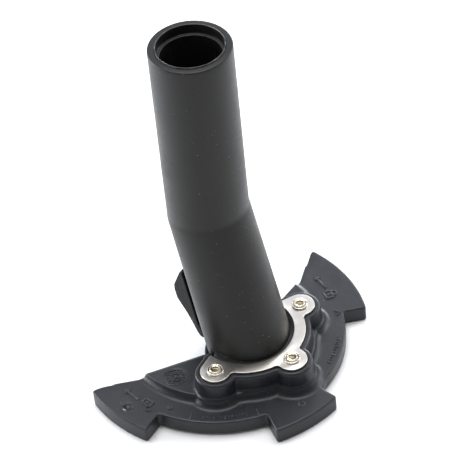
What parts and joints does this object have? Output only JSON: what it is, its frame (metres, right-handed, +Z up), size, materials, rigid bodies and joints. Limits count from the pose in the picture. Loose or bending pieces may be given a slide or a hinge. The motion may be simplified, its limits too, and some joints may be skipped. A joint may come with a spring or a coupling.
{
  "type": "rod holder",
  "caption": "Bent tubular fishing-rod holder on a bayonet base with locking lugs, a stainless clamp plate and a spring-returned release lever.",
  "frame": {"origin": "centre of the bayonet circle, on the plane that the lugs rest on", "axes": "+Z up, +Y towards the back (the side of the release lever, to which the lower tube leans), +X to the right seen from the front"},
  "size_m": [0.187, 0.1205, 0.243],
  "materials": {
    "base_plastic": "satin",
    "tube_plastic": "satin",
    "liner_plastic": "satin",
    "lever_plastic": "satin",
    "rubber": "matte",
    "acetal": "satin",
    "stainless_plate": "brushed",
    "stainless_screw": "polished",
    "stainless_pin": "polished",
    "spring_steel": "polished",
    "brass": "satin"
  },
  "bodies": {
    "holder": {"base_flange": "base_plastic", "rod_tube": "tube_plastic", "tube_liner": "liner_plastic", "butt_stop": "liner_plastic", "butt_pad": "rubber", "foot_gasket": "rubber", "clamp_plate": "stainless_plate", "clamp_screw_left": "stainless_screw", "clamp_screw_front": "stainless_screw", "clamp_screw_right": "stainless_screw", "screw_insert_left": "brass", "screw_insert_front": "brass", "screw_insert_right": "brass", "lever_pin": "stainless_pin", "plunger_guide": "acetal", "plunger_spring": "spring_steel", "spring_seat": "acetal"},
    "lever": {"release_lever": "lever_plastic"},
    "plunger": {"lock_plunger": "stainless_pin", "plunger_ring": "stainless_pin"}
  },
  "joints": [
    {"name": "lever_hinge", "type": "hinge", "parent": "holder", "child": "lever", "pos_m": [0, 0.00498, 0.02119], "axis": [-1, 0, 0], "range_deg": [0, 15], "stiffness_Nm_per_rad": 0.5, "springref_deg": -11.46},
    {"name": "plunger_slide", "type": "slide", "parent": "holder", "child": "plunger", "axis": [0, 0, 1], "range_m": [0, 0.0055], "deforming": ["plunger_spring"]}
  ],
  "couplings": [
    {"joint": "plunger_slide", "follows": "lever_hinge", "m_per_rad": 0.020983}
  ]
}
